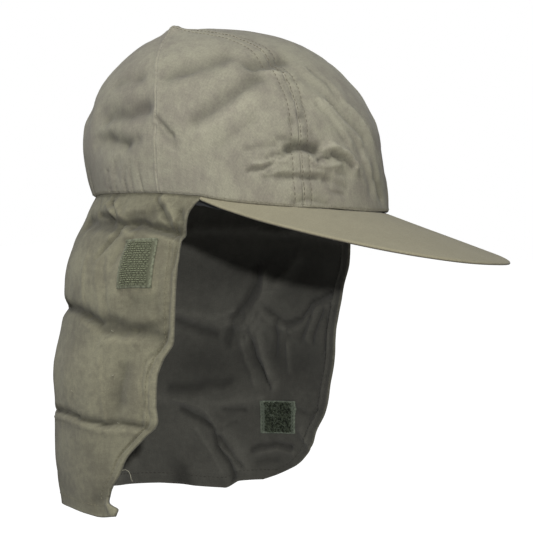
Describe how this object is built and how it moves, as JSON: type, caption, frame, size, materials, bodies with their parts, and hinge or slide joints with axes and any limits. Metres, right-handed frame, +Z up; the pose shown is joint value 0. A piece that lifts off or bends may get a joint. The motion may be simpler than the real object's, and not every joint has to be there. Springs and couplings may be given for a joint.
{
  "type": "legionnaire cap",
  "caption": "Olive-drab cotton legionnaire cap with a stiff visor, a sweatband and a neck flap that has hook and loop patches.",
  "frame": {"origin": "centre of the head opening, in the plane of the rim, where the cap sits on a head", "axes": "+Z up out of the crown's top, the visor points along -Y, and +X is the wearer's left"},
  "size_m": [0.1972, 0.3277, 0.3147],
  "materials": {
    "shell_cotton": "olive-drab cotton twill",
    "visor_cotton": "olive-drab cotton over a stiff board",
    "band_cotton": "charcoal cotton tape",
    "flap_cotton": "olive-drab cotton with its lining",
    "hook_nylon": "olive hook tape with fine ribs",
    "loop_nylon": "dark green loop tape, fuzzy"
  },
  "bodies": {
    "root": {"crown_centre": "shell_cotton", "crown_side_right": "shell_cotton", "crown_side_left": "shell_cotton", "crown_back": "shell_cotton", "visor": "visor_cotton", "sweatband": "band_cotton", "neck_flap": "flap_cotton", "hook_patch": "hook_nylon", "loop_patch": "loop_nylon"}
  },
  "joints": []
}
